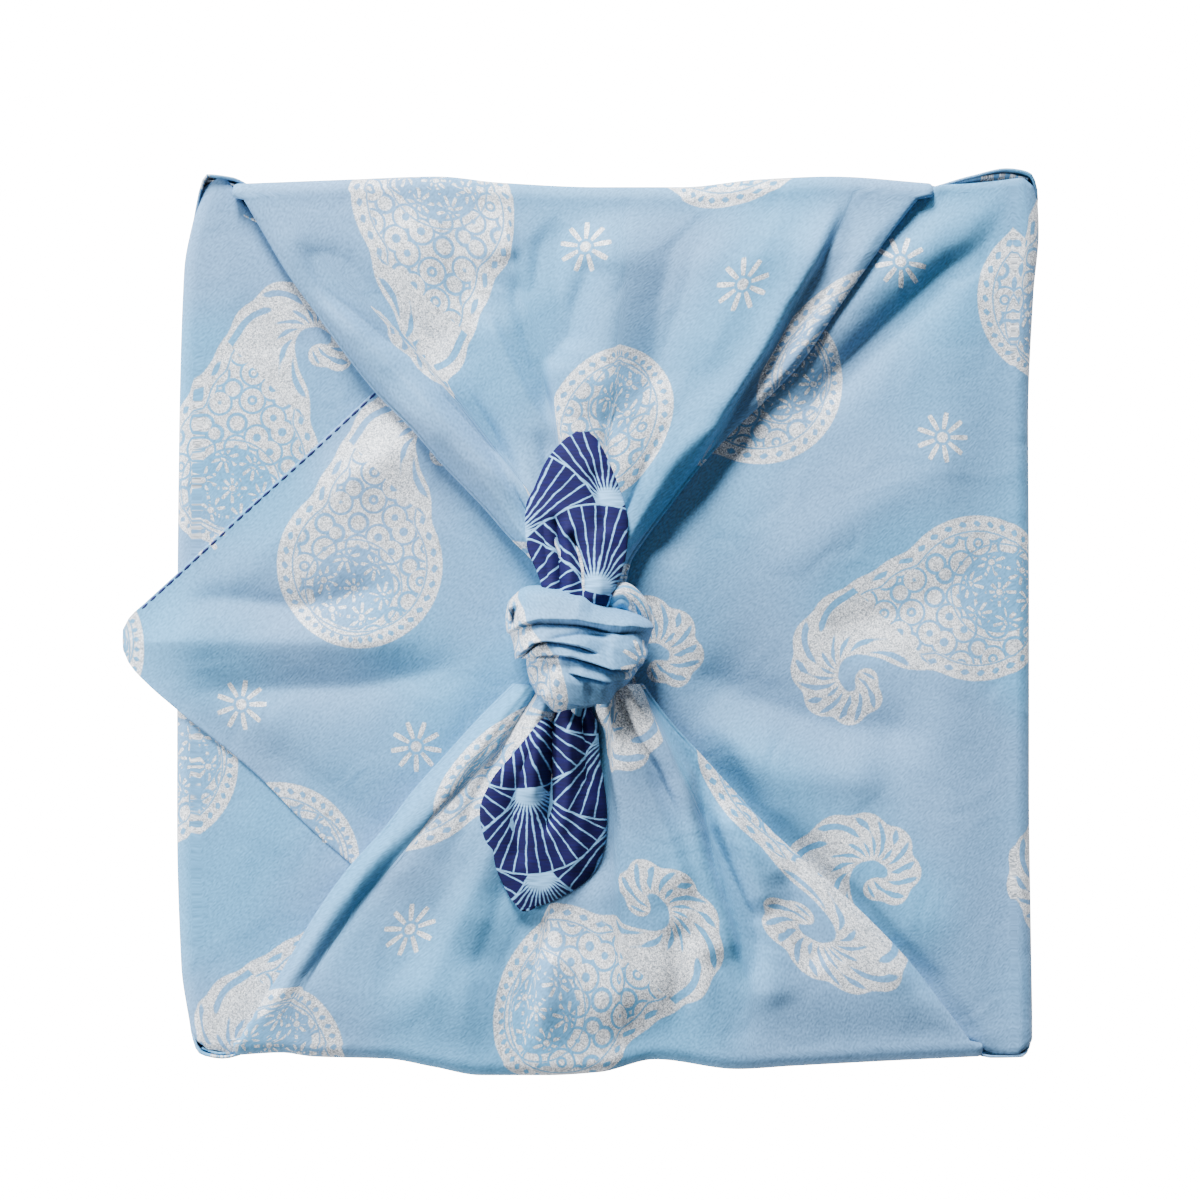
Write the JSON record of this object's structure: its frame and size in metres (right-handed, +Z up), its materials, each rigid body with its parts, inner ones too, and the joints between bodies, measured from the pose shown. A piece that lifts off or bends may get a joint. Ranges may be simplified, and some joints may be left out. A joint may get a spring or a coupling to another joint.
{
  "type": "furoshiki wrap on a square box",
  "caption": "Square double-faced cotton cloth folded round a flat square box: side flaps crossed on the lid, gathered arms tied in a square knot with free ends.",
  "frame": {"origin": "middle of the bounding box, on the table that the wrap rests on", "axes": "+Z up, +Y towards the far arm, +X towards the wall that the upper flap comes up"},
  "size_m": [0.313, 0.3082, 0.0757],
  "materials": {
    "cotton_face": "matt plain-woven cotton with a silver print",
    "cotton_reverse": "matt plain-woven cotton, navy with pale lines",
    "carton": "plain grey board"
  },
  "bodies": {
    "root": {"wrap_cloth": "cotton_face", "box": "carton"}
  },
  "joints": []
}
